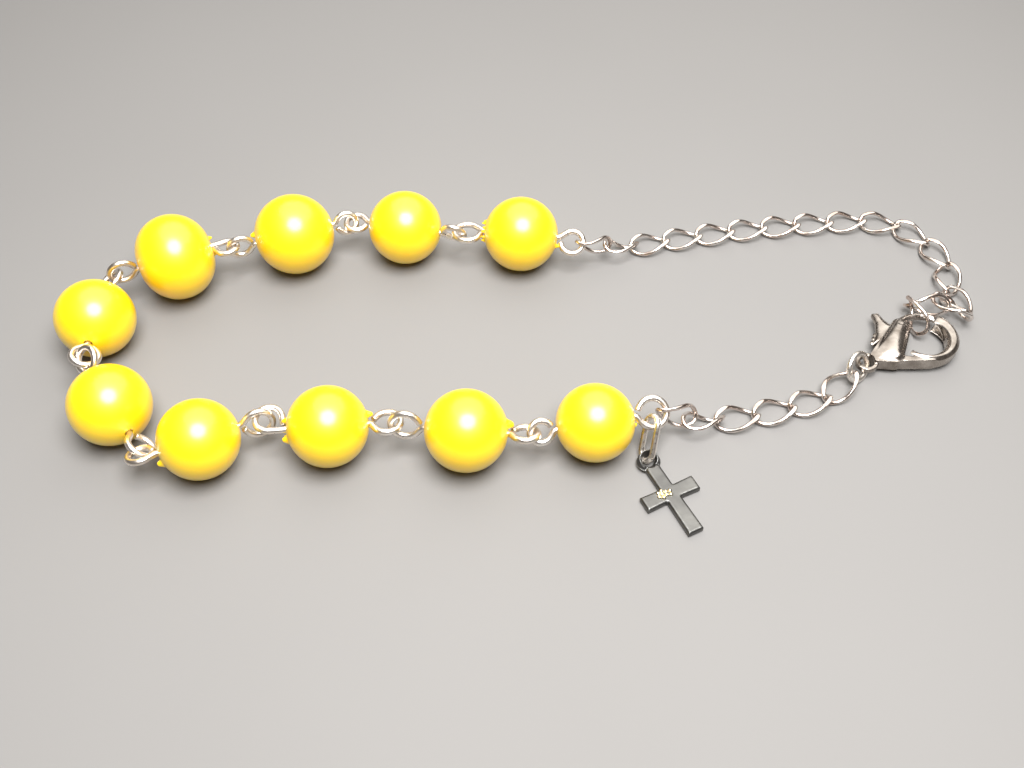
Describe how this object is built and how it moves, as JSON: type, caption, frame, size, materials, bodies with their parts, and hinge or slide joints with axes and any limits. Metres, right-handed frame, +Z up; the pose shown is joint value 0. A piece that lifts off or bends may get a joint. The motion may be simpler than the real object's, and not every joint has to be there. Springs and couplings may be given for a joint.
{
  "type": "beaded bracelet",
  "caption": "Beaded bracelet of round yellow beads on looped eye pins, with an extender chain, a short chain, a lobster clasp with a hinged lever and a small cross charm.",
  "frame": {"origin": "centre of the bracelet's box, on the surface that it lies on", "axes": "+X along the bracelet towards the clasp, +Y across it towards the extender chain, +Z up"},
  "size_m": [0.0965, 0.0419, 0.0092],
  "materials": {
    "yellow_bead": "smooth, opaque, saturated yellow with a soft satin gloss",
    "bright_wire": "bright silver-coloured drawn wire",
    "plated_chain": "silver-coloured plated wire with flattened bright ends",
    "clasp_metal": "cast and tumbled, silver-coloured, softly polished",
    "cross_metal": "satin silver-coloured casting"
  },
  "bodies": {
    "bracelet": {"bead_1": "yellow_bead", "bead_2": "yellow_bead", "bead_3": "yellow_bead", "bead_4": "yellow_bead", "bead_5": "yellow_bead", "bead_6": "yellow_bead", "bead_7": "yellow_bead", "bead_8": "yellow_bead", "bead_9": "yellow_bead", "bead_10": "yellow_bead", "eye_pin_1": "bright_wire", "eye_pin_2": "bright_wire", "eye_pin_3": "bright_wire", "eye_pin_4": "bright_wire", "eye_pin_5": "bright_wire", "eye_pin_6": "bright_wire", "eye_pin_7": "bright_wire", "eye_pin_8": "bright_wire", "eye_pin_9": "bright_wire", "eye_pin_10": "bright_wire", "extender_link_1": "plated_chain", "extender_link_2": "plated_chain", "extender_link_3": "plated_chain", "extender_link_4": "plated_chain", "extender_link_5": "plated_chain", "extender_link_6": "plated_chain", "extender_link_7": "plated_chain", "extender_link_8": "plated_chain", "extender_link_9": "plated_chain", "extender_link_10": "plated_chain", "extender_link_11": "plated_chain", "extender_link_12": "plated_chain", "extender_link_13": "plated_chain", "extender_link_14": "plated_chain", "extender_link_15": "plated_chain", "extender_link_16": "plated_chain", "extender_link_17": "plated_chain", "chain_link_1": "plated_chain", "chain_link_2": "plated_chain", "chain_link_3": "plated_chain", "chain_link_4": "plated_chain", "chain_link_5": "plated_chain", "chain_link_6": "plated_chain", "clasp_ring": "bright_wire", "clasp_body": "clasp_metal", "clasp_pivot": "clasp_metal", "charm_link": "bright_wire", "cross_charm": "cross_metal"},
    "lever": {"clasp_lever": "clasp_metal"}
  },
  "joints": [
    {"name": "lever_hinge", "type": "hinge", "parent": "bracelet", "child": "lever", "pos_m": [0.03942, 0.00259, 0.0013], "axis": [0, 0, -1], "range_deg": [0, 22], "stiffness_Nm_per_rad": 0.0001, "springref_deg": -17.19}
  ]
}
